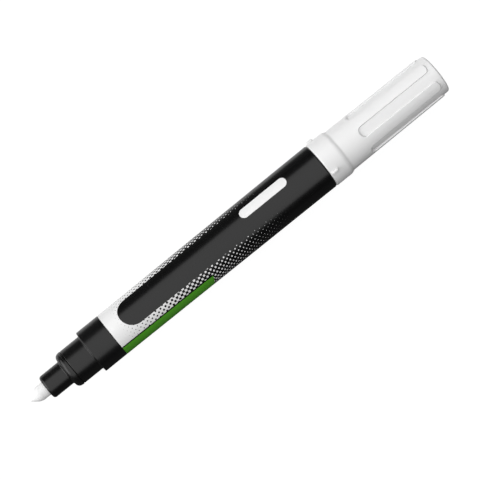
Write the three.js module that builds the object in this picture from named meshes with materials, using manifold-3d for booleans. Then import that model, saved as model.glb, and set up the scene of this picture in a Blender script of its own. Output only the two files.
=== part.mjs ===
// Permanent marker with a bullet nib, uncapped, its cap posted on the tail.
// It lies along X with the nib towards -X, and rests on the cap's mouth ring at z = 0.
// Lengths are in millimetres. Stations are measured along X from the nib's tip.

import * as THREE from 'three';
import { mergeVertices } from 'three/addons/utils/BufferGeometryUtils.js';
import Module from 'manifold-3d';

const wasm = await Module();
wasm.setup();

// Faceting and fits
const SEGMENTS = 48;
const ARC_STEPS = 4;
const PRESS_GAP = 0.05;
const SLIDE_GAP = 0.08;
const CAP_GAP = 0.12;
const SEAT_GAP = 0.05;

// Nib
const NIB_RADIUS = 2.42;
const NIB_EXPOSED = 6.32;
const NIB_TIP_RADIUS = 0.4;
const NIB_CONE_ANGLE = THREE.MathUtils.degToRad(39.5);
const NIB_SHOULDER_RADIUS = 4;
const NIB_REAR_CHAMFER = 0.4;
const NIB_TRAVEL = 1.5;
const NIB_STOP_GAP = 0.3;

// Nib holder, whose nose is a share of the cap seat's radius
const HOLDER_NOSE_SHARE = 0.656;
const HOLDER_NOSE_LENGTH = 7.72;
const HOLDER_NOSE_CORNER = 0.95;
const BEAD_LENGTH = 2.36;
const BEAD_HEIGHT = 0.06;
const BEAD_ROUND = 1.6;
const BEAD_REAR_CORNER = 0.15;

// Front section, the black grip that carries the holder and the valve. The cap seat lies a step below
// the barrel's surface.
const CAP_SEAT_STEP = 1.28;
const CAP_SEAT_LENGTH = 7.4;
const CAP_SEAT_CORNER = 0.4;
const SECTION_WALL = 1.25;
const COLLAR_LENGTH = 8.35;
const COLLAR_CORNER = 0.3;
const COLLAR_FILLET = 0.45;
const SKIRT_LENGTH = 9;

// Barrel
const BARREL_FRONT_RADIUS = 7.44;
const BARREL_TAPER = 0.35;
const BARREL_LENGTH = 82.65;
const BARREL_WALL = 1.3;
const BARREL_TAIL_CORNER = 0.4;

// Valve behind the nib
const VALVE_BODY_LENGTH = 12.4;
const VALVE_BODY_WALL = 0.95;
const VALVE_SEAT_WALL = 1.2;
const VALVE_FLANGE_THICKNESS = 1;
const NIB_CHAMBER_LENGTH = 3.2;
const PIN_RADIUS = 1.6;
const PIN_PORT_GAP = 0.35;
const SEAL_THICKNESS = 0.8;
const SEAL_INSET = 0.1;
const HEAD_FLOW_GAP = 0.55;
const HEAD_THICKNESS = 1.3;
const GUIDE_RADIUS = 1.1;
const RETAINER_THICKNESS = 1.2;
const RETAINER_PORT_RADIUS = 0.5;
const RETAINER_PORT_INSET = 0.85;
const RETAINER_PORTS = 6;
const SPRING_INSET = 0.96;
const SPRING_WIRE_RADIUS = 0.25;
const SPRING_TURNS = 5;
const SPRING_STEPS_PER_TURN = 8;
const SPRING_WIRE_SIDES = 5;

// Tail plug, whose peg holds the posted cap
const PLUG_SKIRT_LENGTH = 6;
const PLUG_WALL = 1.2;
const PLUG_LEDGE = 0.8;
const PLUG_FLANGE_THICKNESS = 1;
const PEG_CORNER = 0.8;
const PEG_END_CLEARANCE = 4.8;

// Cap
const CAP_LENGTH = 45.6;
const CAP_MOUTH_CORNER = 0.4;
const CAP_RING_OVERHANG = 0.06;
const CAP_RING_LENGTH = 5.68;
const CAP_SLOPE_LENGTH = 1.85;
const CAP_SLOPE_HEIGHT = 0.5;
const CAP_SLOPE_OUTER_SHARE = 0.6;
const CAP_TAPER = 0.21;
const CAP_TAIL_BAND = 2.1;
const CAP_TAIL_CORNER = 0.68;
const CAP_BORE_CLEARANCE = 2.7;
const CAP_END_WALL = 1.3;
const CAP_LINER_LEDGE = 0.63;
const RECESS_START = 14.76;
const RECESS_DEPTH = 0.4;
const RECESS_START_REACH = 1.5;
const FINGERS = 6;
const FINGER_WIDTH = 3.84;
const FINGER_TIP_REACH = 1.3;
const GRIP_FACETS = 7;
const RIBS = 3;
const RIB_OFFSET = 0.5;
const RIB_LENGTH = 2.7;
const RIB_WIDTH = 1.2;
const RIB_HEIGHT = 0.74;
const RIB_CORNER = 0.5;

// Inner cap that closes round the nib holder
const LINER_TIP_CLEARANCE = 3.2;
const LINER_END_WALL = 1;

// Mixing balls loose in the ink
const BALL_RADIUS = 2.5;
const BALLS = 2;
const BALL_SPACING = 5.4;
const BALL_SIDES = 16;
const BALL_RINGS = 10;

// Allowances for cutting and joining
const MERGE_DISTANCE = 1e-5;
const CUT_MARGIN = 1;
const RIB_ROOT = 0.5;

// Stations along the marker
const holderFront = NIB_EXPOSED;
const beadFront = holderFront + HOLDER_NOSE_LENGTH;
const beadRear = beadFront + BEAD_LENGTH;
const sectionFront = beadRear + SEAT_GAP;
const collarFront = beadRear + CAP_SEAT_LENGTH;
const collarRear = collarFront + COLLAR_LENGTH;
const sectionRear = collarRear + SKIRT_LENGTH;
const barrelFront = collarRear + SEAT_GAP;
const barrelRear = barrelFront + BARREL_LENGTH;
const valveFlangeFront = sectionRear + SEAT_GAP;
const valveRear = valveFlangeFront + VALVE_FLANGE_THICKNESS;
const valveFront = valveFlangeFront - VALVE_BODY_LENGTH;
const valveSeat = valveFront + VALVE_SEAT_WALL;
const holderRear = valveFront - NIB_CHAMBER_LENGTH;
const nibRear = valveFront - NIB_TRAVEL - NIB_STOP_GAP;
const sealFront = valveSeat + SEAT_GAP;
const headFront = sealFront + SEAL_THICKNESS + SEAT_GAP;
const headRear = headFront + HEAD_THICKNESS;
const retainerRear = valveRear;
const retainerFront = retainerRear - RETAINER_THICKNESS;
const plugFront = barrelRear - PLUG_SKIRT_LENGTH;
const capMouth = barrelRear + SEAT_GAP;
const capEnd = capMouth + CAP_LENGTH;

// Radii that follow from the fits
const capSeatRadius = BARREL_FRONT_RADIUS - CAP_SEAT_STEP;
const noseRadius = capSeatRadius * HOLDER_NOSE_SHARE;
const beadRadius = capSeatRadius + BEAD_HEIGHT;
const sectionBore = capSeatRadius - SECTION_WALL;
const barrelRearRadius = BARREL_FRONT_RADIUS + BARREL_TAPER;
const barrelBore = BARREL_FRONT_RADIUS - BARREL_WALL;
const skirtRadius = barrelBore - PRESS_GAP;
const nibBore = NIB_RADIUS + SLIDE_GAP;
const valveRadius = sectionBore - PRESS_GAP;
const valveBore = valveRadius - VALVE_BODY_WALL;
const valvePort = PIN_RADIUS + PIN_PORT_GAP;
const headRadius = valveBore - HEAD_FLOW_GAP;
const springRadius = headRadius - SPRING_INSET;
const retainerRadius = valveBore - PRESS_GAP;
const plugSeatRadius = barrelBore + PLUG_LEDGE;
const capRingRadius = barrelRearRadius + CAP_RING_OVERHANG;
const capShoulderRadius = capRingRadius - CAP_SLOPE_HEIGHT;
const capBore = capSeatRadius + CAP_GAP;
const capLinerBore = capBore - CAP_LINER_LEDGE;
const linerBore = noseRadius + CAP_GAP;

// Depths inside the cap, measured from its mouth
const capBoreDepth = BEAD_LENGTH + CAP_SEAT_LENGTH + CAP_BORE_CLEARANCE;
const capInnerDepth = CAP_LENGTH - CAP_END_WALL;
const linerInnerDepth = collarFront + LINER_TIP_CLEARANCE;
const pegLength = capBoreDepth - PEG_END_CLEARANCE;

// Grip pattern: angles round the axis at the radius of the cap's shoulder
const gripRadius = capShoulderRadius;
const gripPitch = (2 * Math.PI) / FINGERS;
const recessHalfAngle = (gripPitch - FINGER_WIDTH / gripRadius) / 2;

// The facet in the middle of the lowest recess faces straight down and meets z = 0 under the mouth ring
const lowestFacetHalf = recessHalfAngle * Math.sin(Math.PI / (2 * GRIP_FACETS));
const axisHeight = capRingRadius * Math.cos(lowestFacetHalf);
const middle = capEnd / 2;

const WHITE_FELT = { color: 0xf2f1ee, roughness: 0.95, metalness: 0 };
const BLACK_PLASTIC = { color: 0x1c1c1d, roughness: 0.35, metalness: 0 };
const WHITE_PLASTIC = { color: 0xf1f1f0, roughness: 0.4, metalness: 0 };
const CLEAR_PLASTIC = { color: 0xe4e6e8, roughness: 0.5, metalness: 0 };
const GREY_RUBBER = { color: 0x4a4a4c, roughness: 0.9, metalness: 0 };
const STEEL = { color: 0xb9bcc0, roughness: 0.25, metalness: 1 };

// Points of a quarter round from one direction to another, as [station, radius] pairs
function arc(x, r, size, from, to) {
  const points = [];
  for (let i = 0; i <= ARC_STEPS; i += 1) {
    const angle = THREE.MathUtils.degToRad(from + ((to - from) * i) / ARC_STEPS);
    points.push([x + size * Math.cos(angle), r + size * Math.sin(angle)]);
  }
  return points;
}

// Outer corner at the front of a step, and at its rear
const frontCorner = (x, r, size) => arc(x + size, r - size, size, 180, 90);
const rearCorner = (x, r, size) => arc(x - size, r - size, size, 90, 0);

// Turns an outline of [station, radius] pairs round the marker's axis, one facet facing straight up
function turn(outline) {
  const points = outline.map(([x, r]) => new THREE.Vector2(r, x));
  const geometry = new THREE.LatheGeometry(points, SEGMENTS, Math.PI / SEGMENTS);
  geometry.rotateZ(-Math.PI / 2);
  return geometry;
}

// A ring or tube: the outline is closed on itself
const turnRing = (outline) => turn([...outline, outline[0]]);

// A flat shape in the X and tangent directions, raised from one radius to another and turned to an angle
function radialPrism(shape, innerRadius, outerRadius, degrees) {
  const geometry = new THREE.ExtrudeGeometry(shape, {
    depth: outerRadius - innerRadius,
    bevelEnabled: false,
    curveSegments: ARC_STEPS / 2,
  });
  geometry.translate(0, 0, innerRadius);
  geometry.rotateX(THREE.MathUtils.degToRad(degrees));
  return geometry;
}

function roundedBar(front, length, width, corner) {
  const rear = front + length;
  const half = width / 2;
  const shape = new THREE.Shape();
  shape.moveTo(front + corner, -half);
  shape.absarc(rear - corner, corner - half, corner, -Math.PI / 2, 0, false);
  shape.absarc(rear - corner, half - corner, corner, 0, Math.PI / 2, false);
  shape.absarc(front + corner, half - corner, corner, Math.PI / 2, Math.PI, false);
  shape.absarc(front + corner, corner - half, corner, Math.PI, 1.5 * Math.PI, false);
  return shape;
}

// Makes a closed geometry into a solid that can be cut and joined
function toSolid(geometry) {
  geometry.deleteAttribute('normal');
  geometry.deleteAttribute('uv');
  const merged = mergeVertices(geometry, MERGE_DISTANCE);
  const index = merged.index.array;
  const triangles = [];
  for (let i = 0; i < index.length; i += 3) {
    const [a, b, c] = index.subarray(i, i + 3);
    if (a !== b && b !== c && c !== a) triangles.push(a, b, c);
  }
  const vertProperties = merged.attributes.position.array;
  const triVerts = Uint32Array.from(triangles);
  return new wasm.Manifold(new wasm.Mesh({ numProp: 3, vertProperties, triVerts }));
}

function fromSolid(solid) {
  const mesh = solid.getMesh();
  const geometry = new THREE.BufferGeometry();
  geometry.setAttribute('position', new THREE.BufferAttribute(mesh.vertProperties, 3));
  geometry.setIndex(new THREE.BufferAttribute(mesh.triVerts, 1));
  geometry.computeVertexNormals();
  return geometry;
}

// Radius of the cap's finger level at a depth from its mouth: a straight taper from shoulder to finger tips
function fingerLevel(depth) {
  const start = CAP_RING_LENGTH + CAP_SLOPE_LENGTH;
  const end = CAP_LENGTH - CAP_TAIL_BAND;
  return capShoulderRadius - (CAP_TAPER * (depth - start)) / (end - start);
}

// Porous bullet: rounded tip, cone, and a shoulder arc into the straight rod
function nib() {
  const sin = Math.sin(NIB_CONE_ANGLE);
  const cos = Math.cos(NIB_CONE_ANGLE);
  const shoulder = Math.min(NIB_SHOULDER_RADIUS, (NIB_RADIUS - NIB_TIP_RADIUS) / (1 - cos));
  const coneEnd = NIB_RADIUS - shoulder * (1 - cos);
  const tipEnd = NIB_TIP_RADIUS * (1 - sin);
  const coneLength = (coneEnd - NIB_TIP_RADIUS * cos) * (cos / sin);
  const shoulderCentre = tipEnd + coneLength + shoulder * sin;
  const coneDegrees = THREE.MathUtils.radToDeg(NIB_CONE_ANGLE);
  const tip = arc(NIB_TIP_RADIUS, 0, NIB_TIP_RADIUS, 180, 90 + coneDegrees);
  tip[0] = [0, 0];
  return turn([
    ...tip,
    ...arc(shoulderCentre, NIB_RADIUS - shoulder, shoulder, 90 + coneDegrees, 90),
    [nibRear - NIB_REAR_CHAMFER, NIB_RADIUS],
    [nibRear, NIB_RADIUS - NIB_REAR_CHAMFER],
    [nibRear, 0],
  ]);
}

// Nose tube, rounded bead and the stem that is pressed into the front section
function nibHolder() {
  const round = Math.min(BEAD_ROUND, beadRadius - noseRadius);
  return turnRing([
    [holderFront, nibBore],
    ...frontCorner(holderFront, noseRadius, HOLDER_NOSE_CORNER),
    [beadFront, noseRadius],
    ...frontCorner(beadFront, beadRadius, round),
    [beadRear - BEAD_REAR_CORNER, beadRadius],
    [beadRear, beadRadius - BEAD_REAR_CORNER],
    [beadRear, sectionBore - PRESS_GAP],
    [holderRear, sectionBore - PRESS_GAP],
    [holderRear, nibBore],
  ]);
}

// Cap seat, collar flush with the barrel, and the skirt that is pressed into the barrel
function frontSection() {
  const corner = Math.min(COLLAR_CORNER, CAP_SEAT_STEP / 2);
  const fillet = Math.min(COLLAR_FILLET, CAP_SEAT_STEP - corner);
  return turnRing([
    [sectionFront, sectionBore],
    ...frontCorner(sectionFront, capSeatRadius, CAP_SEAT_CORNER),
    ...arc(collarFront - fillet, capSeatRadius + fillet, fillet, 270, 360),
    ...frontCorner(collarFront, BARREL_FRONT_RADIUS, corner),
    [collarRear, BARREL_FRONT_RADIUS],
    [collarRear, skirtRadius],
    [sectionRear, skirtRadius],
    [sectionRear, sectionBore],
  ]);
}

// Slightly tapered tube, counterbored at the tail for the plug's flange
function barrel() {
  const lip = barrelRearRadius - plugSeatRadius;
  const corner = Math.min(BARREL_TAIL_CORNER, lip / 2);
  const seatDepth = PLUG_FLANGE_THICKNESS + SEAT_GAP;
  return turnRing([
    [barrelFront, barrelBore],
    [barrelFront, BARREL_FRONT_RADIUS],
    ...rearCorner(barrelRear, barrelRearRadius, corner),
    [barrelRear, plugSeatRadius],
    [barrelRear - seatDepth, plugSeatRadius],
    [barrelRear - seatDepth, barrelBore],
  ]);
}

// Hollow plug: skirt in the bore, flange in the counterbore, and the peg that the cap is posted on
function tailPlug() {
  const pegEnd = barrelRear + pegLength;
  const plugBore = skirtRadius - PLUG_WALL;
  return turn([
    [pegEnd - PLUG_WALL, 0],
    [pegEnd - PLUG_WALL, plugBore],
    [plugFront, plugBore],
    [plugFront, skirtRadius],
    [barrelRear - PLUG_FLANGE_THICKNESS, skirtRadius],
    [barrelRear - PLUG_FLANGE_THICKNESS, plugSeatRadius - PRESS_GAP],
    [barrelRear, plugSeatRadius - PRESS_GAP],
    [barrelRear, capSeatRadius],
    ...rearCorner(pegEnd, capSeatRadius, PEG_CORNER),
    [pegEnd, 0],
  ]);
}

// Cup pressed into the front section: its front wall is the valve seat, its flange stops on the skirt
function valveBody() {
  return turnRing([
    [valveFront, valvePort],
    [valveFront, valveRadius],
    [valveFlangeFront, valveRadius],
    [valveFlangeFront, skirtRadius],
    [valveRear, skirtRadius],
    [valveRear, valveBore],
    [valveSeat, valveBore],
    [valveSeat, valvePort],
  ]);
}

// Rubber washer between the seat and the plunger's head
function valveSeal() {
  const outer = headRadius - SEAL_INSET;
  const inner = PIN_RADIUS + PRESS_GAP;
  const rear = sealFront + SEAL_THICKNESS;
  return turnRing([[sealFront, inner], [sealFront, outer], [rear, outer], [rear, inner]]);
}

// Pin against the nib, sealing head, and the tail that runs in the retainer
function valvePlunger() {
  return turn([
    [nibRear + SEAT_GAP, 0],
    [nibRear + SEAT_GAP, PIN_RADIUS],
    [headFront, PIN_RADIUS],
    [headFront, headRadius],
    [headRear, headRadius],
    [headRear, GUIDE_RADIUS],
    [retainerRear, GUIDE_RADIUS],
    [retainerRear, 0],
  ]);
}

// Disc across the valve's rear, with a guide hole and ink ports
function valveRetainer() {
  const guideHole = GUIDE_RADIUS + SLIDE_GAP;
  let disc = toSolid(turnRing([
    [retainerFront, guideHole],
    [retainerFront, retainerRadius],
    [retainerRear, retainerRadius],
    [retainerRear, guideHole],
  ]));
  const radius = RETAINER_PORT_RADIUS;
  const length = RETAINER_THICKNESS + 2 * CUT_MARGIN;
  for (let i = 0; i < RETAINER_PORTS; i += 1) {
    const port = new THREE.CylinderGeometry(radius, radius, length, 4 * ARC_STEPS);
    port.rotateZ(Math.PI / 2);
    port.translate((retainerFront + retainerRear) / 2, 0, retainerRadius - RETAINER_PORT_INSET);
    port.rotateX((2 * Math.PI * i) / RETAINER_PORTS);
    disc = disc.subtract(toSolid(port));
  }
  return fromSolid(disc);
}

// Open compression spring between the plunger's head and the retainer
class CoilPath extends THREE.Curve {
  getPoint(t) {
    const start = headRear + SEAT_GAP + SPRING_WIRE_RADIUS;
    const end = retainerFront - SEAT_GAP - SPRING_WIRE_RADIUS;
    const angle = 2 * Math.PI * SPRING_TURNS * t;
    return new THREE.Vector3(
      start + (end - start) * t,
      -springRadius * Math.sin(angle),
      springRadius * Math.cos(angle),
    );
  }
}

function valveSpring() {
  const wire = new THREE.Shape();
  for (let i = 0; i < SPRING_WIRE_SIDES; i += 1) {
    const angle = (2 * Math.PI * i) / SPRING_WIRE_SIDES;
    const across = SPRING_WIRE_RADIUS * Math.cos(angle);
    const up = SPRING_WIRE_RADIUS * Math.sin(angle);
    wire[i ? 'lineTo' : 'moveTo'](across, up);
  }
  const steps = SPRING_STEPS_PER_TURN * SPRING_TURNS;
  return new THREE.ExtrudeGeometry(wire, { steps, extrudePath: new CoilPath() });
}

// A facet of three [x, y, z] points, left out where two of them meet on the axis
function addFacet(facets, ...corners) {
  const keys = new Set(corners.map(String));
  if (keys.size === 3) facets.push(...corners.flat());
}

// Facets between two lines of points, the right one further round the axis, both running the same way
function addStrip(facets, left, right) {
  let i = 0;
  let j = 0;
  while (i < left.length - 1 || j < right.length - 1) {
    const leftNext = i < left.length - 1 && (j === right.length - 1 || left[i + 1][0] <= right[j + 1][0]);
    addFacet(facets, left[i], right[j], leftNext ? left[i + 1] : right[j + 1]);
    if (leftNext) i += 1;
    else j += 1;
  }
}

const aroundAxis = (x, r, angle) => [x, -r * Math.sin(angle), r * Math.cos(angle)];

// Edge between the finger level and the recess level, once round the cap: an oval start to each recess,
// an oval tip on each finger, and straight sides where two points share an angle
function gripEdge() {
  const edge = [];
  for (let recess = 0; recess < FINGERS; recess += 1) {
    const recessAngle = recess * gripPitch;
    const fingerStart = recessAngle + recessHalfAngle;
    const fingerEnd = ((recess + 1) % FINGERS) * gripPitch - recessHalfAngle;
    const fingerHalfAngle = gripPitch / 2 - recessHalfAngle;
    for (let i = 0; i <= GRIP_FACETS; i += 1) {
      const turned = (Math.PI * i) / GRIP_FACETS;
      const x = capMouth + RECESS_START + RECESS_START_REACH * (1 - Math.sin(turned));
      edge.push({ x, angle: recessAngle - recessHalfAngle * Math.cos(turned) });
    }
    for (let i = 0; i <= GRIP_FACETS; i += 1) {
      const turned = (Math.PI * i) / GRIP_FACETS;
      const x = capEnd - CAP_TAIL_BAND - FINGER_TIP_REACH * (1 - Math.sin(turned));
      const between = fingerStart + fingerHalfAngle * (1 - Math.cos(turned));
      edge.push({ x, angle: i === 0 ? fingerStart : i === GRIP_FACETS ? fingerEnd : between });
    }
  }
  return edge;
}

// Shell with a mouth ring that rounds down and out to the shoulder, grip fingers between recesses,
// and small ribs that stop it rolling
function capShell() {
  const low = (x) => fingerLevel(x - capMouth) - RECESS_DEPTH;
  const high = (x) => fingerLevel(x - capMouth);
  const slope = 2 * Math.atan2(CAP_SLOPE_HEIGHT, CAP_SLOPE_LENGTH);
  const slopeDegrees = THREE.MathUtils.radToDeg(slope);
  const outerRound = (CAP_SLOPE_OUTER_SHARE * CAP_SLOPE_LENGTH) / Math.sin(slope);
  const innerRound = CAP_SLOPE_LENGTH / Math.sin(slope) - outerRound;
  const ringRear = capMouth + CAP_RING_LENGTH;
  const shoulder = ringRear + CAP_SLOPE_LENGTH;
  const front = [
    [capMouth, capBore],
    ...frontCorner(capMouth, capRingRadius, CAP_MOUTH_CORNER),
    ...arc(ringRear, capRingRadius - outerRound, outerRound, 90, 90 - slopeDegrees),
    ...arc(shoulder, capShoulderRadius + innerRound, innerRound, 270 - slopeDegrees, 270).slice(1),
  ];
  const rear = [
    ...rearCorner(capEnd, low(capEnd - CAP_TAIL_CORNER), CAP_TAIL_CORNER),
    [capEnd, 0],
  ];
  const inside = [
    [capMouth + capInnerDepth, 0],
    [capMouth + capInnerDepth, capLinerBore],
    [capMouth + capBoreDepth, capLinerBore],
    [capMouth + capBoreDepth, capBore],
    [capMouth, capBore],
  ];

  const edge = gripEdge();
  const facets = [];
  const beside = (k) => [edge.at(k - 1), edge[(k + 1) % edge.length]];
  const sharing = (k) => beside(k).filter((p) => p.angle === edge[k].angle);
  const along = (k, outline) => outline.map(([x, r]) => aroundAxis(x, r, edge[k].angle));
  const highLine = (k) => {
    const stations = [...sharing(k).map((p) => p.x).filter((x) => x < edge[k].x), edge[k].x];
    return along(k, [front.at(-1), ...stations.map((x) => [x, high(x)])]);
  };
  const lowLine = (k) => {
    const stations = [edge[k].x, ...sharing(k).map((p) => p.x).filter((x) => x > edge[k].x)];
    return along(k, [...stations.map((x) => [x, low(x)]), rear[0]]);
  };
  for (let k = 0; k < edge.length; k += 1) {
    const next = (k + 1) % edge.length;
    addStrip(facets, [highLine(k).at(-1), lowLine(k)[0]], [highLine(next).at(-1), lowLine(next)[0]]);
    if (edge[k].angle !== edge[next].angle) {
      addStrip(facets, highLine(k), highLine(next));
      addStrip(facets, lowLine(k), lowLine(next));
      for (const outline of [front, rear, inside]) {
        for (let i = 0; i < outline.length - 1; i += 1) {
          const span = outline.slice(i, i + 2);
          addStrip(facets, along(k, span), along(next, span));
        }
      }
    }
  }
  const body = new THREE.BufferGeometry();
  body.setAttribute('position', new THREE.Float32BufferAttribute(facets, 3));

  let shell = toSolid(body);
  for (let i = 0; i < RIBS; i += 1) {
    const bar = roundedBar(capMouth + RIB_OFFSET, RIB_LENGTH, RIB_WIDTH, RIB_CORNER);
    const angle = (360 * i) / RIBS + 180 / FINGERS;
    const top = capRingRadius + RIB_HEIGHT;
    shell = shell.add(toSolid(radialPrism(bar, capRingRadius - RIB_ROOT, top, angle)));
  }
  return fromSolid(shell);
}

// Soft cup pressed into the cap, which seals on the nib holder's nose
function capLiner() {
  const outer = capLinerBore - PRESS_GAP;
  const front = capMouth + capBoreDepth;
  const floor = capMouth + linerInnerDepth;
  return turn([
    [floor, 0],
    [floor, linerBore],
    [front, linerBore],
    [front, outer],
    [floor + LINER_END_WALL, outer],
    [floor + LINER_END_WALL, 0],
  ]);
}

// Steel ball lying on the bottom of the barrel's bore
function mixingBall(number) {
  const geometry = new THREE.SphereGeometry(BALL_RADIUS, BALL_SIDES, BALL_RINGS);
  const reservoirMiddle = (valveRear + plugFront) / 2;
  const x = reservoirMiddle + (number - (BALLS - 1) / 2) * BALL_SPACING;
  const z = BALL_RADIUS + SEAT_GAP - barrelBore * Math.cos(Math.PI / SEGMENTS);
  geometry.translate(x, 0, z);
  return geometry;
}

const marker = new THREE.Group();
marker.position.set(-middle, 0, axisHeight);

function addPiece(name, geometry, finish) {
  const piece = new THREE.Mesh(geometry, new THREE.MeshStandardMaterial(finish));
  piece.name = name;
  marker.add(piece);
}

addPiece('nib', nib(), WHITE_FELT);
addPiece('nib_holder', nibHolder(), BLACK_PLASTIC);
addPiece('front_section', frontSection(), BLACK_PLASTIC);
addPiece('valve_body', valveBody(), CLEAR_PLASTIC);
addPiece('valve_seal', valveSeal(), GREY_RUBBER);
addPiece('valve_plunger', valvePlunger(), CLEAR_PLASTIC);
addPiece('valve_spring', valveSpring(), STEEL);
addPiece('valve_retainer', valveRetainer(), CLEAR_PLASTIC);
addPiece('barrel', barrel(), BLACK_PLASTIC);
addPiece('tail_plug', tailPlug(), BLACK_PLASTIC);
addPiece('cap_shell', capShell(), WHITE_PLASTIC);
addPiece('cap_liner', capLiner(), CLEAR_PLASTIC);
for (let i = 0; i < BALLS; i += 1) {
  addPiece(`mixing_ball_${i + 1}`, mixingBall(i), STEEL);
}

const assembly = new THREE.Group();
assembly.add(marker);
export default assembly;
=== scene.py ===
# Permanent marker with a white bullet nib, uncapped, its white cap posted on the tail.
# It lies along X with the nib towards -X, in metres. Each section below makes one piece of the marker.

import math

import bmesh
import bpy
from mathutils import Matrix, Vector


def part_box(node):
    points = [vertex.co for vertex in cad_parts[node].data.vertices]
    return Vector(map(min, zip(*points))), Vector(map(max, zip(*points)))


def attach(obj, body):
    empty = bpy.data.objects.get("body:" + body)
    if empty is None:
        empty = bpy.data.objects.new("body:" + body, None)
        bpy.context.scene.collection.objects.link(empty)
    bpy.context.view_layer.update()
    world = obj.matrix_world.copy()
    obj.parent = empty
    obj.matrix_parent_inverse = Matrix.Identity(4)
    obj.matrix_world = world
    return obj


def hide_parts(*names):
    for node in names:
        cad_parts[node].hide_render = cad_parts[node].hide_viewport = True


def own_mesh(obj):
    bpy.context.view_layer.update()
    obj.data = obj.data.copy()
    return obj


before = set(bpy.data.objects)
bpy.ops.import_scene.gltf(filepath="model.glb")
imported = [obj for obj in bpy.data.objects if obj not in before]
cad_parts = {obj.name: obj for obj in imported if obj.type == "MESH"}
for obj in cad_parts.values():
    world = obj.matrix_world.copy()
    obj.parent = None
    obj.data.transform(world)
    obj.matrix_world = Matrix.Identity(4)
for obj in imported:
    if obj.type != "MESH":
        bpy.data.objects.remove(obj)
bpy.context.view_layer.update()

MM = 0.001


# Camera
# A long lens straight above the marker, which runs up to the right across the picture.
# The lens stands over the front half, so it looks back a little towards the middle.

nib_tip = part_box("nib")[0].x
axis_height = (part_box("barrel")[0].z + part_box("barrel")[1].z) / 2

CAMERA_HEIGHT = 779 * MM
CAMERA_PLACE_X = -34.56 * MM
CAMERA_PLACE_Y = -2.035 * MM
AIM_X = 0.74 * MM
AIM_Y = -2.015 * MM
MARKER_ANGLE = math.radians(39.01)
SENSOR_WIDTH = 36
LENS = 190.2
NEAR_LIMIT = 10 * MM

camera = bpy.data.objects.new("camera", bpy.data.cameras.new("camera"))
bpy.context.scene.collection.objects.link(camera)
camera.data.lens = LENS
camera.data.sensor_width = SENSOR_WIDTH
camera.data.clip_start = NEAR_LIMIT
place = Vector((CAMERA_PLACE_X, CAMERA_PLACE_Y, axis_height + CAMERA_HEIGHT))
aim = Vector((AIM_X, AIM_Y, axis_height))
backwards = (place - aim).normalized()
picture_up = Vector((math.sin(MARKER_ANGLE), math.cos(MARKER_ANGLE), 0))
picture_right = picture_up.cross(backwards).normalized()
turn = Matrix((picture_right, backwards.cross(picture_right), backwards)).transposed()
camera.matrix_world = Matrix.Translation(place) @ turn.to_4x4()
bpy.context.scene.camera = camera


# Nib
# Bonded polyester fibre, ground to a bullet point on a 5 mm rod, and clean white.
# It slides in the holder and opens the valve when it is pressed.

NIB_SIDES = 72
NIB_POINT_ROUND = 0.4 * MM
NIB_FIRST_RING = 172
NIB_CONE = math.radians(39.5)
NIB_SHOULDER_ROUND = 4 * MM
NIB_SHOULDER_STEPS = 12
NIB_REAR_CHAMFER = 0.4 * MM
FELT_COLOR = (0.86, 0.86, 0.86, 1)
FELT_SHADE = (0.835, 0.835, 0.835, 1)
FIBRE_STRETCH = 0.35
FIBRE_GRAIN = 5200
FIBRE_RELIEF = 0.04
PORE_GRAIN = 1500
PORE_LOW = 0.3
PORE_HIGH = 0.6
RELIEF_HEIGHT = 0.02 * MM
MERGE_DISTANCE = 1e-7
SMOOTH_ANGLE = math.radians(32)


def arc(x, r, size, start, end, steps=8):
    """Points of a round from one direction to another, in degrees, as (x, radius) pairs."""
    angles = [math.radians(start + (end - start) * i / steps) for i in range(steps + 1)]
    return [(x + size * math.cos(a), r + size * math.sin(a)) for a in angles]


def front_corner(x, r, size, steps=8):
    """A rounded outer edge at the front of a piece, from its face at x to its side at radius r."""
    return arc(x + size, r - size, size, 180, 90, steps)


def rear_corner(x, r, size, steps=8):
    """A rounded outer edge at the rear of a piece, from its side at radius r to its face at x."""
    return arc(x - size, r - size, size, 90, 0, steps)


def start_ring(name, x, r, sides, filled):
    """Adds a circle round the marker's axis, and opens it for editing."""
    bpy.ops.object.select_all(action="DESELECT")
    bpy.ops.mesh.primitive_circle_add(
        vertices=sides, radius=r, fill_type="NGON" if filled else "NOTHING",
        location=(x, 0, axis_height), rotation=(0, math.pi / 2, 0))
    piece = bpy.context.object
    piece.name = name
    bpy.ops.object.transform_apply(location=True, rotation=True, scale=True)
    bpy.ops.object.mode_set(mode="EDIT")
    bpy.ops.mesh.select_all(action="SELECT")
    return piece


def next_ring(x, r, last_x, last_r):
    """Pulls the selected ring out to the next point of the outline."""
    bpy.ops.mesh.extrude_edges_move(TRANSFORM_OT_translate={"value": (x - last_x, 0, 0)})
    bpy.ops.transform.resize(value=(1, r / last_r, r / last_r), center_override=(x, 0, axis_height))


def merge_surface():
    """Merges what meets in the piece that is open, turns its faces outwards, and ends its editing."""
    bpy.ops.mesh.select_all(action="SELECT")
    bpy.ops.mesh.remove_doubles(threshold=MERGE_DISTANCE)
    bpy.ops.mesh.normals_make_consistent(inside=False)
    bpy.ops.object.mode_set(mode="OBJECT")


def close_surface(piece):
    """Merges the surface, and smooths all but its sharp edges."""
    merge_surface()
    bpy.ops.object.shade_smooth_by_angle(angle=SMOOTH_ANGLE)
    weighted = piece.modifiers.new("even_normals", "WEIGHTED_NORMAL")
    weighted.keep_sharp = True
    bpy.ops.object.modifier_apply(modifier=weighted.name)
    bpy.ops.object.select_all(action="DESELECT")


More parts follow.
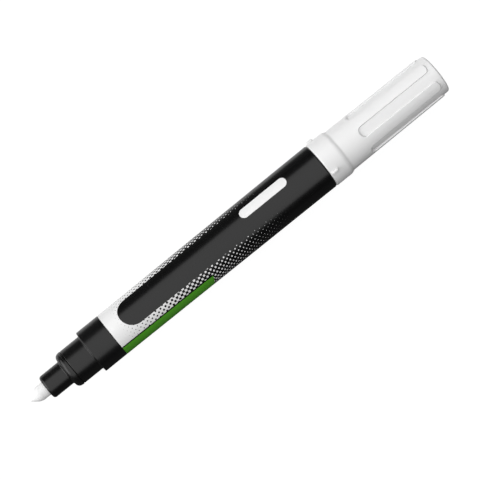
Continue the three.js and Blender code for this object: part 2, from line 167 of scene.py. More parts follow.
def turned(name, outline, sides):
    """A turned piece from an outline of (x, radius) points. Ends on the axis are closed by a disc."""
    start_on_axis = outline[0][1] == 0
    end_on_axis = outline[-1][1] == 0
    points = [(x, r) for x, r in outline if r > 0]
    piece = start_ring(name, *points[0], sides, start_on_axis)
    if start_on_axis:
        bpy.ops.mesh.select_mode(type="EDGE")
    for (last_x, last_r), (x, r) in zip(points, points[1:]):
        next_ring(x, r, last_x, last_r)
    if end_on_axis:
        bpy.ops.mesh.edge_face_add()
    close_surface(piece)
    return piece


def add_node(tree, kind, inputs=(), **settings):
    """Adds a shader node, sets it, and fills its sockets with values or links."""
    made = tree.nodes.new(kind)
    for key, value in settings.items():
        setattr(made, key, value)
    for socket, value in dict(inputs).items():
        if isinstance(value, bpy.types.NodeSocket):
            tree.links.new(value, made.inputs[socket])
        else:
            made.inputs[socket].default_value = value
    return made


def connect(tree, target, outputs):
    """Links each output to the target's socket of this name."""
    for socket, output in outputs.items():
        tree.links.new(output, target.inputs[socket])


class Wiring:
    """Adds nodes to a tree, so that a pattern or a mask reads as a formula."""

    def __init__(self, tree):
        self.tree = tree

    def place(self):
        return add_node(self.tree, "ShaderNodeTexCoord").outputs["Object"]

    def noise(self, place, scale, detail, roughness=0.5):
        sockets = {"Vector": place, "Scale": scale, "Detail": detail, "Roughness": roughness}
        return add_node(self.tree, "ShaderNodeTexNoise", sockets).outputs["Fac"]

    def math(self, operation, *values):
        return add_node(self.tree, "ShaderNodeMath", dict(enumerate(values)), operation=operation).outputs[0]

    def blend(self, value, low, high, low_result=0, high_result=1, smooth=True):
        sockets = {"Value": value, "From Min": low, "From Max": high,
                   "To Min": low_result, "To Max": high_result}
        kind = "SMOOTHSTEP" if smooth else "LINEAR"
        return add_node(self.tree, "ShaderNodeMapRange", sockets, interpolation_type=kind).outputs[0]

    def mix(self, factor, first, second):
        sockets = {"Factor": factor, "A": first, "B": second}
        return add_node(self.tree, "ShaderNodeMix", sockets, data_type="RGBA").outputs["Result"]

    def relief(self, height, strength):
        sockets = {"Height": height, "Distance": RELIEF_HEIGHT, "Strength": strength}
        return add_node(self.tree, "ShaderNodeBump", sockets).outputs[0]


def new_material(name, **values):
    """A material, its tree and its shader, with these plain values on the shader's own sockets."""
    material = bpy.data.materials.new(name)
    material.use_nodes = True
    shader = material.node_tree.nodes["Principled BSDF"]
    for socket, value in values.items():
        shader.inputs[socket.replace("_", " ")].default_value = value
    return material, material.node_tree, shader


def dress(piece, material):
    piece.data.materials.clear()
    piece.data.materials.append(material)


def felt():
    """Fine fibres that run along the nib, a little darker in the pores."""
    material, tree, shader = new_material("bonded_felt", Roughness=0.85, Specular_IOR_Level=0.25)
    wire = Wiring(tree)
    place = wire.place()
    along = add_node(tree, "ShaderNodeMapping", {"Vector": place, "Scale": (FIBRE_STRETCH, 1, 1)})
    fibre = wire.noise(along.outputs[0], FIBRE_GRAIN, 3)
    open_pore = wire.blend(wire.noise(place, PORE_GRAIN, 2), PORE_LOW, PORE_HIGH, smooth=False)
    connect(tree, shader, {"Base Color": wire.mix(open_pore, FELT_SHADE, FELT_COLOR),
                           "Normal": wire.relief(fibre, FIBRE_RELIEF)})
    return material


nib_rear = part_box("nib")[1].x
nib_radius = (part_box("nib")[1].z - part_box("nib")[0].z) / 2
nib_shoulder = min(NIB_SHOULDER_ROUND, (nib_radius - NIB_POINT_ROUND) / (1 - math.cos(NIB_CONE)))
point_end = NIB_POINT_ROUND * (1 - math.sin(NIB_CONE))
cone_drop = nib_radius - nib_shoulder * (1 - math.cos(NIB_CONE)) - NIB_POINT_ROUND * math.cos(NIB_CONE)
shoulder_x = nib_tip + point_end + cone_drop / math.tan(NIB_CONE) + nib_shoulder * math.sin(NIB_CONE)
cone_normal = 90 + math.degrees(NIB_CONE)
nib = turned("bullet_nib", [
    (nib_tip, 0),
    *arc(nib_tip + NIB_POINT_ROUND, 0, NIB_POINT_ROUND, NIB_FIRST_RING, cone_normal),
    *arc(shoulder_x, nib_radius - nib_shoulder, nib_shoulder, cone_normal, 90,
         steps=NIB_SHOULDER_STEPS),
    (nib_rear - NIB_REAR_CHAMFER, nib_radius),
    (nib_rear, nib_radius - NIB_REAR_CHAMFER),
    (nib_rear, 0),
], NIB_SIDES)
dress(nib, felt())
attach(nib, "writing_valve")
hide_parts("nib")


# Nib holder
# Moulded black plastic: a nose tube, a rounded bead that the cap clicks over, and a hidden stem.
# The stem is pressed into the front section up to the bead's flat rear.

SIDES = 128
NOSE_CORNER = 0.95 * MM
NOSE_MOUTH_CHAMFER = 0.2 * MM
BEAD_LENGTH = 2.36 * MM
BEAD_HEIGHT = 0.06 * MM
BEAD_ROUND = 1.6 * MM
BEAD_REAR_CORNER = 0.2 * MM
BEAD_REAR_GAP = 0.05 * MM
BEAD_RIM_LENGTH = 0.55 * MM
BEAD_RIM_SLOPE = 0.07 * MM
NOSE_FOOT_FILLET = 0.4 * MM
HOLDER_NOSE_RADIUS = 4.04 * MM
HOLDER_BORE_RADIUS = 2.5 * MM
HOLDER_STEM_RADIUS = 4.86 * MM
PATCH_GRAIN = 260
PATCH_ROUGHNESS = 0.6
BLACK_COLOR = (0.0034, 0.0034, 0.0035, 1)


def new_group(name, inputs, outputs):
    """A shader node group with its named sockets, and the two nodes that hold them."""
    group = bpy.data.node_groups.new(name, "ShaderNodeTree")
    for direction, sockets in (("INPUT", inputs), ("OUTPUT", outputs)):
        for socket, kind in sockets.items():
            group.interface.new_socket(socket, in_out=direction, socket_type="NodeSocket" + kind)
    return group, group.nodes.new("NodeGroupInput").outputs, group.nodes.new("NodeGroupOutput")


def moulded_group():
    """Moulding grain and light handling: tone, gloss and height that change over the surface."""
    group, given, result = new_group(
        "moulded_surface",
        {"Color": "Color", "Tone Range": "Float", "Gloss": "Float", "Gloss Range": "Float", "Grain": "Float"},
        {"Color": "Color", "Roughness": "Float", "Height": "Float"})
    wire = Wiring(group)
    place = wire.place()
    drift = wire.math("SUBTRACT", wire.noise(place, PATCH_GRAIN, 4, PATCH_ROUGHNESS), 0.5)
    tone = wire.math("MULTIPLY_ADD", drift, given["Tone Range"], 1)
    color = add_node(group, "ShaderNodeVectorMath", {0: given["Color"], "Scale": tone}, operation="SCALE")
    connect(group, result, {
        "Color": color.outputs[0],
        "Roughness": wire.math("MULTIPLY_ADD", drift, given["Gloss Range"], given["Gloss"]),
        "Height": wire.noise(place, given["Grain"], 3)})
    return group


moulded_surface = moulded_group()


def add_surface(tree, shader, color, tone_range, gloss, gloss_range, grain, bump):
    """Gives the shader the common surface in this colour, which is a value or another node's output."""
    sockets = {"Color": color, "Tone Range": tone_range, "Gloss": gloss, "Gloss Range": gloss_range,
               "Grain": grain}
    surface = add_node(tree, "ShaderNodeGroup", sockets, node_tree=moulded_surface).outputs
    connect(tree, shader, {"Base Color": surface["Color"], "Roughness": surface["Roughness"],
                           "Normal": Wiring(tree).relief(surface["Height"], bump)})


def grained_material(name, color, tone_range, gloss, gloss_range, grain, bump, **values):
    """A material of one colour with this surface, and with plain values on its shader."""
    material, tree, shader = new_material(name, **values)
    add_surface(tree, shader, color, tone_range, gloss, gloss_range, grain, bump)
    return material


black_plastic = grained_material(
    "satin_black_plastic", BLACK_COLOR,
    tone_range=0.35, gloss=0.30, gloss_range=0.10, grain=2600, bump=0.10, Specular_IOR_Level=0.53)
holder_front, holder_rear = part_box("nib_holder")[0].x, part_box("nib_holder")[1].x
section_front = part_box("front_section")[0].x
bead_rear = section_front - BEAD_REAR_GAP
bead_front = bead_rear - BEAD_LENGTH
bead_radius = (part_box("nib_holder")[1].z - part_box("nib_holder")[0].z) / 2
seat_radius = bead_radius - BEAD_HEIGHT
rim_front = bead_rear - BEAD_RIM_LENGTH
holder = turned("nib_holder_moulding", [
    (holder_rear, HOLDER_BORE_RADIUS),
    (holder_front + NOSE_MOUTH_CHAMFER, HOLDER_BORE_RADIUS),
    (holder_front, HOLDER_BORE_RADIUS + NOSE_MOUTH_CHAMFER),
    *front_corner(holder_front, HOLDER_NOSE_RADIUS, NOSE_CORNER),
    *arc(bead_front - NOSE_FOOT_FILLET, HOLDER_NOSE_RADIUS + NOSE_FOOT_FILLET, NOSE_FOOT_FILLET,
         270, 360, steps=4),
    *front_corner(bead_front, seat_radius, BEAD_ROUND, steps=16),
    (rim_front - BEAD_RIM_SLOPE, seat_radius),
    (rim_front, bead_radius),
    *rear_corner(bead_rear, bead_radius, BEAD_REAR_CORNER, steps=5),
    (bead_rear, HOLDER_STEM_RADIUS),
    (holder_rear, HOLDER_STEM_RADIUS),
    (holder_rear, HOLDER_BORE_RADIUS),
], SIDES)
dress(holder, black_plastic)
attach(holder, "pen")
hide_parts("nib_holder")


# Front section
# Moulded black plastic: the seat that the cap grips, and a collar flush with the barrel.
# Its skirt is pressed into the barrel, and the writing valve sits inside it.

SEAT_FRONT_CORNER = 0.3 * MM
SEAT_LENGTH = 7.4 * MM
COLLAR_CORNER = 0.3 * MM
COLLAR_REAR_CORNER = 0.1 * MM
COLLAR_FILLET = 0.45 * MM
COLLAR_LENGTH = 8.35 * MM
SECTION_BORE_RADIUS = 4.91 * MM
SKIRT_RADIUS = 6.09 * MM

collar_front = bead_rear + SEAT_LENGTH
collar_rear = collar_front + COLLAR_LENGTH
section_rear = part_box("front_section")[1].x
collar_radius = (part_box("front_section")[1].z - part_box("front_section")[0].z) / 2
section = turned("grip_section", [
    (section_rear, SECTION_BORE_RADIUS),
    *front_corner(section_front, seat_radius, SEAT_FRONT_CORNER),
    *arc(collar_front - COLLAR_FILLET, seat_radius + COLLAR_FILLET, COLLAR_FILLET, 270, 360),
    *front_corner(collar_front, collar_radius, COLLAR_CORNER),
    *rear_corner(collar_rear, collar_radius, COLLAR_REAR_CORNER, steps=3),
    (collar_rear, SKIRT_RADIUS),
    (section_rear, SKIRT_RADIUS),
    (section_rear, SECTION_BORE_RADIUS),
], SIDES)
dress(section, black_plastic)
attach(section, "pen")
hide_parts("front_section")


# Barrel
# Extruded tube under a glossy printed sleeve: black over white through a halftone of square dots,
# with a plain round-ended panel, a green band low on the side, and a white tag. It holds the ink.

BARREL_WALL = 1.3 * MM
BARREL_FRONT_CORNER = 0.1 * MM
BARREL_TAIL_CORNER = 0.55 * MM
PLUG_SEAT_RADIUS = 6.94 * MM
PLUG_SEAT_DEPTH = 1.05 * MM
INK_BLACK = (0.0034, 0.0034, 0.0035, 1)
INK_WHITE = (0.87, 0.87, 0.87, 1)
INK_GREEN = (0.080, 0.35, 0.020, 1)

# The print is placed in millimetres along the barrel, from the nib tip, and in degrees from the top.
PRINT_RADIUS = 7.45
DOT_TURNS_SHORT = 20
DOT_TURNS_LONG = 33
DOT_EDGE = 0.10
DOTS_START = 34.0
DOTS_HALF = 55.8
DOTS_THIN = 85.2
DOTS_END = 100.0
DOTS_THIN_LEVEL = 0.9
PRINT_EDGE = 0.05
PANEL_START = 37.07
PANEL_TOP = -54.5
PANEL_BOTTOM = 19.5
BAND_TOP = 44.6
BAND_BOTTOM = 90.0
BAND_END = 67.55
BAND_SLANT = 0.25
BAND_LINE = 3.7
TAG_START = 85.23
TAG_END = 103.1
TAG_TOP = -41.0
TAG_BOTTOM = -15.6


def print_group():
    """The sleeve's print, drawn in millimetres along the barrel and round it."""
    group, given, result = new_group(
        "barrel_print", {"Black": "Color", "White": "Color", "Green": "Color"}, {"Color": "Color"})
    wire = Wiring(group)
    parts = add_node(group, "ShaderNodeSeparateXYZ", {0: wire.place()}).outputs
    along = wire.math("MULTIPLY", wire.math("SUBTRACT", parts["X"], nib_tip), 1 / MM)
    height = wire.math("SUBTRACT", parts["Z"], axis_height)
    angle = wire.math("ARCTAN2", wire.math("MULTIPLY", parts["Y"], -1), height)
    around = wire.math("MULTIPLY", angle, PRINT_RADIUS)

    def arc_length(degrees):
        return math.radians(degrees) * PRINT_RADIUS

    def beyond(value, limit):
        return wire.math("SUBTRACT", value, limit)

    def bar(start, end, top, bottom):
        """Distance outside a round-ended bar. With no end, the bar runs on to the tail."""
        half = (arc_length(bottom) - arc_length(top)) / 2
        across = beyond(around, (arc_length(bottom) + arc_length(top)) / 2)
        lead = wire.math("SUBTRACT", start + half, along)
        if end:
            lead = wire.math("MAXIMUM", lead, beyond(along, end - half))
        lead = wire.math("MAXIMUM", lead, 0)
        square = wire.math("MULTIPLY_ADD", lead, lead, wire.math("MULTIPLY", across, across))
        return wire.math("SUBTRACT", wire.math("SQRT", square), half)

    def printed(under, distance, ink):
        """Ink over what is under it, with a soft edge, where a distance in millimetres is below 0."""
        mask = wire.blend(distance, -PRINT_EDGE, PRINT_EDGE, 1, 0)
        return wire.mix(mask, under, given[ink])

    waves = []
    for along_turns, round_turns in ((DOT_TURNS_LONG, -DOT_TURNS_SHORT), (DOT_TURNS_SHORT, DOT_TURNS_LONG)):
        round_phase = wire.math("MULTIPLY", angle, round_turns)
        phase = wire.math("MULTIPLY_ADD", along, along_turns / PRINT_RADIUS, round_phase)
        waves.append(wire.math("COSINE", phase))
    screen = wire.math("MULTIPLY", wire.math("ADD", *waves), 0.5)
    clear = 1 + DOT_EDGE
    fade = wire.blend(along, DOTS_START, DOTS_HALF, clear, 0, smooth=False)
    for start, end, change in ((DOTS_HALF, DOTS_THIN, DOTS_THIN_LEVEL),
                               (DOTS_THIN, DOTS_END, clear - DOTS_THIN_LEVEL)):
        fade = wire.math("ADD", fade, wire.blend(along, start, end, 0, -change, smooth=False))
    dots = wire.blend(wire.math("SUBTRACT", screen, fade), -DOT_EDGE, DOT_EDGE)
    color = wire.mix(dots, given["White"], given["Black"])

    color = printed(color, bar(PANEL_START, None, PANEL_TOP, PANEL_BOTTOM), "Black")
    slanted = wire.math("MULTIPLY_ADD", beyond(around, arc_length(BAND_TOP)), BAND_SLANT, along)
    past_band = wire.math("MAXIMUM", beyond(around, arc_length(BAND_BOTTOM)), beyond(slanted, BAND_END))
    for top, ink in ((BAND_TOP - BAND_LINE, "Black"), (BAND_TOP, "Green")):
        above = wire.math("SUBTRACT", arc_length(top), around)
        color = printed(color, wire.math("MAXIMUM", above, past_band), ink)
    color = printed(color, bar(TAG_START, TAG_END, TAG_TOP, TAG_BOTTOM), "White")
    connect(group, result, {"Color": color})
    return group


def printed_sleeve():
    """Gloss varnish over the print, with the film's faint unevenness."""
    material, tree, shader = new_material("printed_gloss_sleeve", Specular_IOR_Level=0.53)
    inks = {"Black": INK_BLACK, "White": INK_WHITE, "Green": INK_GREEN}
    color = add_node(tree, "ShaderNodeGroup", inks, node_tree=print_group()).outputs["Color"]
    add_surface(tree, shader, color, tone_range=0.10, gloss=0.26, gloss_range=0.08, grain=1800, bump=0.06)
    return material


barrel_front, barrel_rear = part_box("barrel")[0].x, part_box("barrel")[1].x
barrel_rear_radius = (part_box("barrel")[1].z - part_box("barrel")[0].z) / 2
barrel_bore = collar_radius - BARREL_WALL
barrel = turned("printed_barrel", [
    (barrel_front, barrel_bore),
    *front_corner(barrel_front, collar_radius, BARREL_FRONT_CORNER, steps=3),
    *rear_corner(barrel_rear, barrel_rear_radius, BARREL_TAIL_CORNER, steps=6),
    (barrel_rear, PLUG_SEAT_RADIUS),
    (barrel_rear - PLUG_SEAT_DEPTH, PLUG_SEAT_RADIUS),
    (barrel_rear - PLUG_SEAT_DEPTH, barrel_bore),
    (barrel_front, barrel_bore),
], SIDES)
dress(barrel, printed_sleeve())
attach(barrel, "pen")
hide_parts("barrel")


# Tail plug
# Moulded black plastic, hollow, pressed into the barrel's tail against its flange.
# Its peg holds the cap while the marker is in use.

PLUG_WALL = 1.2 * MM
PLUG_SKIRT_RADIUS = 6.09 * MM
PLUG_FLANGE = 1 * MM
PLUG_FLANGE_RADIUS = 6.89 * MM
PEG_CORNER = 0.8 * MM

plug_front, peg_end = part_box("tail_plug")[0].x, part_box("tail_plug")[1].x
plug = turned("tail_plug_moulding", [
    (peg_end - PLUG_WALL, 0),
    (peg_end - PLUG_WALL, PLUG_SKIRT_RADIUS - PLUG_WALL),
    (plug_front, PLUG_SKIRT_RADIUS - PLUG_WALL),
    (plug_front, PLUG_SKIRT_RADIUS),
    (barrel_rear - PLUG_FLANGE, PLUG_SKIRT_RADIUS),
    (barrel_rear - PLUG_FLANGE, PLUG_FLANGE_RADIUS),
    (barrel_rear, PLUG_FLANGE_RADIUS),
    (barrel_rear, seat_radius),
    *rear_corner(peg_end, seat_radius, PEG_CORNER),
    (peg_end, 0),
], SIDES)
dress(plug, black_plastic)
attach(plug, "pen")
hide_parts("tail_plug")


# Cap
# Moulded white plastic. The mouth ring carries three ribs against rolling, and rounds down to a shoulder.
# Six grip fingers with oval tips follow. The recesses between them are open to the band at the tail.

CAP_MOUTH_CORNER = 0.4 * MM
CAP_MOUTH_CHAMFER = 0.2 * MM
CAP_RING_RADIUS = 7.836 * MM
CAP_RING_LENGTH = 5.55 * MM
CAP_SLOPE_LENGTH = 1.98 * MM
CAP_SLOPE_HEIGHT = 0.5 * MM
CAP_SLOPE_OUTER_SHARE = 0.66
CAP_SLOPE_STEPS = 10
CAP_TAPER = 0.21 * MM
CAP_TAIL_BAND = 2.1 * MM
CAP_TAIL_CORNER = 0.68 * MM
CAP_BORE_RADIUS = 6.28 * MM
CAP_BORE_DEPTH = 12.46 * MM
CAP_INNER_RADIUS = 5.65 * MM
CAP_END_WALL = 1.3 * MM
RECESS_START = 14.76 * MM
RECESS_DEPTH = 0.4 * MM
RECESS_START_DEPTH = 0.58 * MM
RECESS_START_REACH = 1.5 * MM
RECESS_EDGE_ROUND = 0.12 * MM
RECESS_EDGE_STEPS = 4
RECESS_DRAFT = 0.03 * MM
RECESS_START_SLOPE = 0.6 * MM
FINGER_TIP_SLOPE = 0.36 * MM
FINGERS = 6
FINGER_WIDTH = 3.84 * MM
FINGER_TIP_REACH = 1.3 * MM
GRIP_END_STEPS = 14
RIBS = 3
RIB_LENGTH = 2.42 * MM
RIB_WIDTH = 1.2 * MM
RIB_HEIGHT = 0.74 * MM
RIB_OFFSET = 0.5 * MM
RIB_ROOT = 0.5 * MM
RIB_CORNER = 0.52 * MM
RIB_TOP_ROUND = 0.5 * MM
RIB_ROUND_STEPS = 6
UPRIGHT_LIMIT = 0.8
WHITE_COLOR = (0.87, 0.87, 0.87, 1)

cap_mouth, cap_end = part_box("cap_shell")[0].x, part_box("cap_shell")[1].x
cap_shoulder_x = cap_mouth + CAP_RING_LENGTH + CAP_SLOPE_LENGTH
cap_shoulder_radius = CAP_RING_RADIUS - CAP_SLOPE_HEIGHT
finger_tips = cap_end - CAP_TAIL_BAND
grip_pitch = 2 * math.pi / FINGERS
finger_round = FINGER_WIDTH / 2
recess_round = (grip_pitch * cap_shoulder_radius - FINGER_WIDTH) / 2


def cap_level(x):
    """Radius of the fingers: a straight taper from the shoulder to their tips."""
    share = (x - cap_shoulder_x) / (finger_tips - cap_shoulder_x)
    return cap_shoulder_radius - CAP_TAPER * share


def grip_depth(x):
    """Depth of the recesses: a straight run from their start to the finger tips."""
    start = cap_mouth + RECESS_START
    return RECESS_START_DEPTH + (RECESS_DEPTH - RECESS_START_DEPTH) * (x - start) / (finger_tips - start)


def grip_edge(offset, lean=0):
    """The wavy edge round the cap as (x, angle) pairs. An offset moves its sides, a lean its ends."""
    # Each end is half an oval: its middle, its direction, its reach, its place round and its half width.
    recess_end = (cap_mouth + RECESS_START + RECESS_START_REACH, -1,
                  RECESS_START_REACH - RECESS_START_SLOPE * lean, 0, recess_round - offset)
    finger_end = (finger_tips - FINGER_TIP_REACH, 1,
                  FINGER_TIP_REACH + FINGER_TIP_SLOPE * lean, 0.5, finger_round + offset)
    edge = []
    for finger in range(FINGERS):
        for middle, direction, reach, place, half in (recess_end, finger_end):
            for i in range(GRIP_END_STEPS + 1):
                turned_by = math.pi * i / GRIP_END_STEPS
                x = middle + direction * (reach - RECESS_DRAFT) * math.sin(turned_by)
                swing = (half - RECESS_DRAFT) * math.cos(turned_by) / cap_shoulder_radius
                edge.append((x, (finger + place) * grip_pitch - swing))
    return edge


def shape_ring(piece, points):
    """Puts the newest ring's points at these (x, radius, angle) places."""
    mesh = bmesh.from_edit_mesh(piece.data)
    mesh.verts.ensure_lookup_table()
    for vertex, (x, r, angle) in zip(mesh.verts[-len(points):], points):
        vertex.co = (x, -r * math.sin(angle), axis_height + r * math.cos(angle))
    bmesh.update_edit_mesh(piece.data)


def cap_rings():
    """All rings of the cap's surface, from the inner end, round the mouth lip, and back to the tail."""
    high_angles = [angle for _, angle in grip_edge(-RECESS_EDGE_ROUND)]
    low_angles = [angle for _, angle in grip_edge(RECESS_EDGE_ROUND)]
    slope = 2 * math.atan2(CAP_SLOPE_HEIGHT, CAP_SLOPE_LENGTH)
    slope_normal = 90 - math.degrees(slope)
    outer_round = CAP_SLOPE_OUTER_SHARE * CAP_SLOPE_LENGTH / math.sin(slope)
    inner_round = CAP_SLOPE_LENGTH / math.sin(slope) - outer_round
    smooth_part = [
        (cap_end - CAP_END_WALL, CAP_INNER_RADIUS),
        (cap_mouth + CAP_BORE_DEPTH, CAP_INNER_RADIUS),
        (cap_mouth + CAP_BORE_DEPTH, CAP_BORE_RADIUS),
        (cap_mouth + CAP_MOUTH_CHAMFER, CAP_BORE_RADIUS),
        (cap_mouth, CAP_BORE_RADIUS + CAP_MOUTH_CHAMFER),
        *front_corner(cap_mouth, CAP_RING_RADIUS, CAP_MOUTH_CORNER),
        *arc(cap_mouth + CAP_RING_LENGTH, CAP_RING_RADIUS - outer_round, outer_round,
             90, slope_normal, steps=CAP_SLOPE_STEPS),
        *arc(cap_shoulder_x, cap_shoulder_radius + inner_round, inner_round, 180 + slope_normal, 270)[1:],
    ]
    rings = [[(x, r, angle) for angle in high_angles] for x, r in smooth_part]
    wall = arc(-RECESS_EDGE_ROUND, -RECESS_EDGE_ROUND, RECESS_EDGE_ROUND, 90, 0, steps=RECESS_EDGE_STEPS)
    wall += [(-x, -RECESS_DEPTH - r) for x, r in reversed(wall)]
    for offset, drop in wall:
        share = -drop / RECESS_DEPTH
        rings.append([(x, cap_level(x) - share * grip_depth(x), angle)
                      for x, angle in grip_edge(offset, share - 0.5)])
    tail_radius = cap_level(cap_end - CAP_TAIL_CORNER) - RECESS_DEPTH
    for x, r in rear_corner(cap_end, tail_radius, CAP_TAIL_CORNER):
        rings.append([(x, r, angle) for angle in low_angles])
    return rings


def moulded_cap():
    rings = cap_rings()
    piece = start_ring("white_cap", *rings[0][0][:2], len(rings[0]), True)
    shape_ring(piece, rings[0])
    for ring in rings[1:]:
        bpy.ops.mesh.extrude_edges_move()
        shape_ring(piece, ring)
    bpy.ops.mesh.edge_face_add()
    merge_surface()
    return piece


def bevel_edges(piece, chosen, width):
    """Rounds the edges that the test picks in the piece that is open."""
    bpy.ops.mesh.select_all(action="DESELECT")
    mesh = bmesh.from_edit_mesh(piece.data)
    mesh.normal_update()
    for edge in mesh.edges:
        edge.select = chosen(edge)
    mesh.select_flush_mode()
    bmesh.update_edit_mesh(piece.data)
    bpy.ops.mesh.bevel(offset=width, segments=RIB_ROUND_STEPS, affect="EDGES")


def is_upright(edge):
    return abs((edge.verts[0].co - edge.verts[1].co).normalized().z) > UPRIGHT_LIMIT


def is_beside_top(edge):
    return sum(face.normal.z > UPRIGHT_LIMIT for face in edge.link_faces) == 1


def rolling_rib(number):
    """A short bar with rounded ends and a rounded top, whose root is sunk in the mouth ring."""
    low, high = CAP_RING_RADIUS - RIB_ROOT, CAP_RING_RADIUS + RIB_HEIGHT
    bpy.ops.object.select_all(action="DESELECT")
    bpy.ops.mesh.primitive_cube_add(
        size=1, location=(cap_mouth + RIB_OFFSET + RIB_LENGTH / 2, 0, axis_height + (low + high) / 2),
        scale=(RIB_LENGTH, RIB_WIDTH, high - low))
    rib = bpy.context.object
    bpy.ops.object.transform_apply(location=True, rotation=True, scale=True)
    bpy.ops.object.mode_set(mode="EDIT")
    bpy.ops.mesh.select_mode(type="EDGE")
    bevel_edges(rib, is_upright, RIB_CORNER)
    bevel_edges(rib, is_beside_top, RIB_TOP_ROUND)
    bpy.ops.mesh.select_all(action="SELECT")
    angle = 2 * math.pi * number / RIBS + grip_pitch / 2
    bpy.ops.transform.rotate(value=-angle, orient_axis="X", center_override=(0, 0, axis_height))
    bpy.ops.object.mode_set(mode="OBJECT")
    return rib


cap = moulded_cap()
for number in range(RIBS):
    rib = rolling_rib(number)
    bpy.context.view_layer.objects.active = cap
    union = cap.modifiers.new("rib", "BOOLEAN")
    union.operation = "UNION"
    union.object = rib
    bpy.ops.object.modifier_apply(modifier=union.name)
    bpy.data.objects.remove(rib)
bpy.ops.object.select_all(action="DESELECT")
cap.select_set(True)
bpy.context.view_layer.objects.active = cap
bpy.ops.object.mode_set(mode="EDIT")
close_surface(cap)
white_plastic = grained_material(
    "soft_white_plastic", WHITE_COLOR,
    tone_range=0.05, gloss=0.38, gloss_range=0.10, grain=2200, bump=0.10, Specular_IOR_Level=0.5)
dress(cap, white_plastic)
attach(cap, "cap")
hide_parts("cap_shell")


# Cap liner
# Soft milky cup pressed into the cap. It closes round the holder's nose and keeps the nib wet.

LINER_BORE_RADIUS = 4.16 * MM
LINER_OUTER_RADIUS = 5.6 * MM
LINER_END_WALL = 1 * MM
LINER_LIP = 0.25 * MM
MILKY_COLOR = (0.62, 0.64, 0.66, 1)

liner_front, liner_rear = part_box("cap_liner")[0].x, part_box("cap_liner")[1].x
liner = turned("inner_cup", [
    (liner_rear - LINER_END_WALL, 0),
    (liner_rear - LINER_END_WALL, LINER_BORE_RADIUS),
    (liner_front + LINER_LIP, LINER_BORE_RADIUS),
    (liner_front, LINER_BORE_RADIUS + LINER_LIP),
    (liner_front, LINER_OUTER_RADIUS),
    (liner_rear, LINER_OUTER_RADIUS),
    (liner_rear, 0),
], SIDES)
milky_plastic = grained_material(
    "milky_plastic", MILKY_COLOR,
    tone_range=0.08, gloss=0.5, gloss_range=0.10, grain=1600, bump=0.10, Specular_IOR_Level=0.4)
dress(liner, milky_plastic)
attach(liner, "cap")
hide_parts("cap_liner")


# Valve spring
# Bright steel wire in five open coils, between the plunger and the retainer behind it.
# A ring of wire is swept round the axis.

SPRING_TURNS = 5
SPRING_WIRE_RADIUS = 0.25 * MM
SPRING_WIRE_SIDES = 12
SPRING_STEPS = 36
STEEL_COLOR = (0.56, 0.57, 0.58, 1)

spring_front, spring_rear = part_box("valve_spring")[0].x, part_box("valve_spring")[1].x
spring_radius = (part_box("valve_spring")[1].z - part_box("valve_spring")[0].z) / 2 - SPRING_WIRE_RADIUS
bpy.ops.object.select_all(action="DESELECT")
bpy.ops.mesh.primitive_circle_add(
    vertices=SPRING_WIRE_SIDES, radius=SPRING_WIRE_RADIUS, fill_type="NOTHING",
    location=(spring_front + SPRING_WIRE_RADIUS, 0, spring_radius), rotation=(math.pi / 2, 0, 0))
spring = bpy.context.object
spring.name = "coiled_wire"
bpy.ops.object.transform_apply(location=True, rotation=True, scale=True)
coils = spring.modifiers.new("coils", "SCREW")
coils.axis = "X"
coils.iterations = SPRING_TURNS
coils.steps = SPRING_STEPS
coils.screw_offset = (spring_rear - spring_front - 2 * SPRING_WIRE_RADIUS) / SPRING_TURNS
bpy.ops.object.modifier_apply(modifier=coils.name)
bpy.ops.object.mode_set(mode="EDIT")
bpy.ops.mesh.select_all(action="SELECT")
bpy.ops.mesh.fill_holes(sides=SPRING_WIRE_SIDES)
bpy.ops.mesh.select_all(action="SELECT")
bpy.ops.transform.translate(value=(0, 0, axis_height))
close_surface(spring)
steel = grained_material(
    "bright_steel", STEEL_COLOR,
    tone_range=0.10, gloss=0.22, gloss_range=0.10, grain=4000, bump=0.08, Specular_IOR_Level=0.5, Metallic=1)
dress(spring, steel)
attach(spring, "pen")
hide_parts("valve_spring")
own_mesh(spring)


# Writing valve and mixing balls
# Sealed inside the front section and the barrel: milky plastic valve parts, a rubber washer,
# and steel balls. Their solids are right as they are and get a finish.

RUBBER_COLOR = (0.045, 0.045, 0.048, 1)

rubber = grained_material(
    "grey_rubber", RUBBER_COLOR,
    tone_range=0.3, gloss=0.8, gloss_range=0.12, grain=3000, bump=0.3, Specular_IOR_Level=0.3)
for node_name in ("valve_body", "valve_plunger", "valve_retainer"):
    dress(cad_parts[node_name], milky_plastic)
dress(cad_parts["valve_seal"], rubber)
for node_name in ("mixing_ball_1", "mixing_ball_2"):
    dress(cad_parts[node_name], steel)


# Studio
# The camera sees a plain floor as white, with the marker's soft shadow. Bounced and mirrored light see it
# painted: a pale strip of painted light on the left, and painted shade elsewhere.
# A wide panel hangs overhead, a brighter one stands beyond the nib, and a fill stands on the left.

FLOOR_SIZE = 14
FLOOR_COLOR = (0.16, 0.16, 0.16, 1)
FLOOR_PAINTED_LIGHT_COLOR = (0.85, 0.85, 0.85, 1)
FLOOR_PAINTED_SHADE_COLOR = (0.02, 0.02, 0.02, 1)
FLOOR_PAINTED_LIGHT_START = 6 * MM
FLOOR_PAINTED_LIGHT_END = 16 * MM
FLOOR_PAINTED_LIGHT_FADE = 32 * MM
FLOOR_SEEN_WHITE = 0.91
FLOOR_MIRRORED_WHITE = 0.01
SURROUND_STRENGTH = 0.02
PURE_WHITE = (1, 1, 1, 1)
PANEL_HEIGHT = 1.8
PANEL_LEFT_REACH = math.radians(52.5)
PANEL_RIGHT_REACH = math.radians(49)
PANEL_NIB_REACH = math.radians(72)
PANEL_TAIL_REACH = math.radians(44)
PANEL_GLOW = 1.08
SIDE_DISTANCE = 2
SIDE_TURN = math.radians(23)
SIDE_LOW = math.radians(1)
SIDE_HIGH = math.radians(41)
SIDE_HALF_WIDTH = math.radians(40)
SIDE_GLOW = 2.1
FILL_DISTANCE = 2
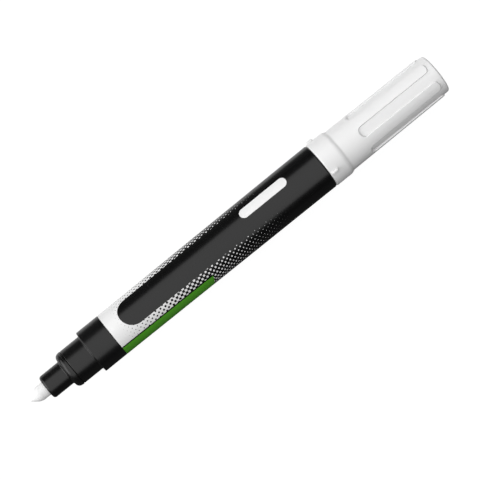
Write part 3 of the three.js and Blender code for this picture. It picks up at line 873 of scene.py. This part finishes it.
FILL_TURN = math.radians(80)
FILL_LOW = math.radians(1)
FILL_HIGH = math.radians(16)
FILL_HALF_WIDTH = math.radians(28)
FILL_GLOW = 2.95

bpy.ops.mesh.primitive_plane_add(size=FLOOR_SIZE, location=(0, 0, 0))
floor = bpy.context.object
floor.name = "floor"
floor_material, tree, shader = new_material("white_floor", Roughness=0.9)
light_path = add_node(tree, "ShaderNodeLightPath").outputs
wire = Wiring(tree)
across = add_node(tree, "ShaderNodeSeparateXYZ", {0: wire.place()}).outputs["Y"]
# Painted light and shade, seen only by bounced and mirrored light: a pale strip on the marker's left stands
# in for lit floor, and near-black elsewhere stands in for floor in shade.
painted_light_strip = wire.math("MULTIPLY", wire.blend(across, -FLOOR_PAINTED_LIGHT_START, FLOOR_PAINTED_LIGHT_START),
                  wire.blend(across, FLOOR_PAINTED_LIGHT_END, FLOOR_PAINTED_LIGHT_FADE, 1, 0))
painted_floor_light_and_shade = wire.mix(painted_light_strip, FLOOR_PAINTED_SHADE_COLOR, FLOOR_PAINTED_LIGHT_COLOR)
mirrored = wire.math("ADD", light_path["Is Glossy Ray"], light_path["Is Transmission Ray"])
glow = wire.math("MULTIPLY_ADD", light_path["Is Camera Ray"], FLOOR_SEEN_WHITE,
                 wire.math("MULTIPLY", mirrored, FLOOR_MIRRORED_WHITE))
shader.inputs["Emission Color"].default_value = PURE_WHITE
connect(tree, shader, {"Base Color": wire.mix(light_path["Is Camera Ray"], painted_floor_light_and_shade, FLOOR_COLOR),
                       "Emission Strength": glow})
dress(floor, floor_material)


def soft_panel(name, length, width, glow):
    """A rectangular soft light of this brightness, its face down and its length along the marker."""
    panel = bpy.data.objects.new(name, bpy.data.lights.new(name, "AREA"))
    bpy.context.scene.collection.objects.link(panel)
    panel.data.shape = "RECTANGLE"
    panel.data.size = length
    panel.data.size_y = width
    panel.data.energy = glow * math.pi * length * width
    panel.visible_camera = False
    return panel


left_edge = PANEL_HEIGHT * math.tan(PANEL_LEFT_REACH)
right_edge = -PANEL_HEIGHT * math.tan(PANEL_RIGHT_REACH)
nib_edge = -PANEL_HEIGHT * math.tan(PANEL_NIB_REACH)
tail_edge = PANEL_HEIGHT * math.tan(PANEL_TAIL_REACH)
overhead = soft_panel("overhead_panel", tail_edge - nib_edge, left_edge - right_edge, PANEL_GLOW)
overhead.location = ((nib_edge + tail_edge) / 2, (left_edge + right_edge) / 2, PANEL_HEIGHT)


def standing_panel(name, distance, turn, low, high, half_width, glow):
    """A soft panel that stands on edge and faces the marker, turned from the nib's end to its left."""
    low_edge, high_edge = distance * math.tan(low), distance * math.tan(high)
    panel = soft_panel(name, 2 * distance * math.tan(half_width), high_edge - low_edge, glow)
    panel.location = (-distance * math.cos(turn), distance * math.sin(turn),
                      axis_height + (low_edge + high_edge) / 2)
    panel.rotation_euler = (math.pi / 2, 0, -math.pi / 2 - turn)
    return panel


standing_panel("nib_end_panel", SIDE_DISTANCE, SIDE_TURN, SIDE_LOW, SIDE_HIGH, SIDE_HALF_WIDTH, SIDE_GLOW)
fill = standing_panel("left_fill", FILL_DISTANCE, FILL_TURN, FILL_LOW, FILL_HIGH, FILL_HALF_WIDTH, FILL_GLOW)
fill.visible_glossy = False

surround = bpy.data.worlds.new("surround")
surround.use_nodes = True
bpy.context.scene.world = surround
tree = surround.node_tree
light_path = add_node(tree, "ShaderNodeLightPath").outputs
dim = add_node(tree, "ShaderNodeBackground", {"Color": PURE_WHITE, "Strength": SURROUND_STRENGTH})
bright = add_node(tree, "ShaderNodeBackground", {"Color": PURE_WHITE, "Strength": 1})
seen = add_node(tree, "ShaderNodeMixShader",
                {0: light_path["Is Camera Ray"], 1: dim.outputs[0], 2: bright.outputs[0]})
tree.links.new(seen.outputs[0], tree.nodes["World Output"].inputs["Surface"])

bpy.context.scene.view_settings.view_transform = "Standard"
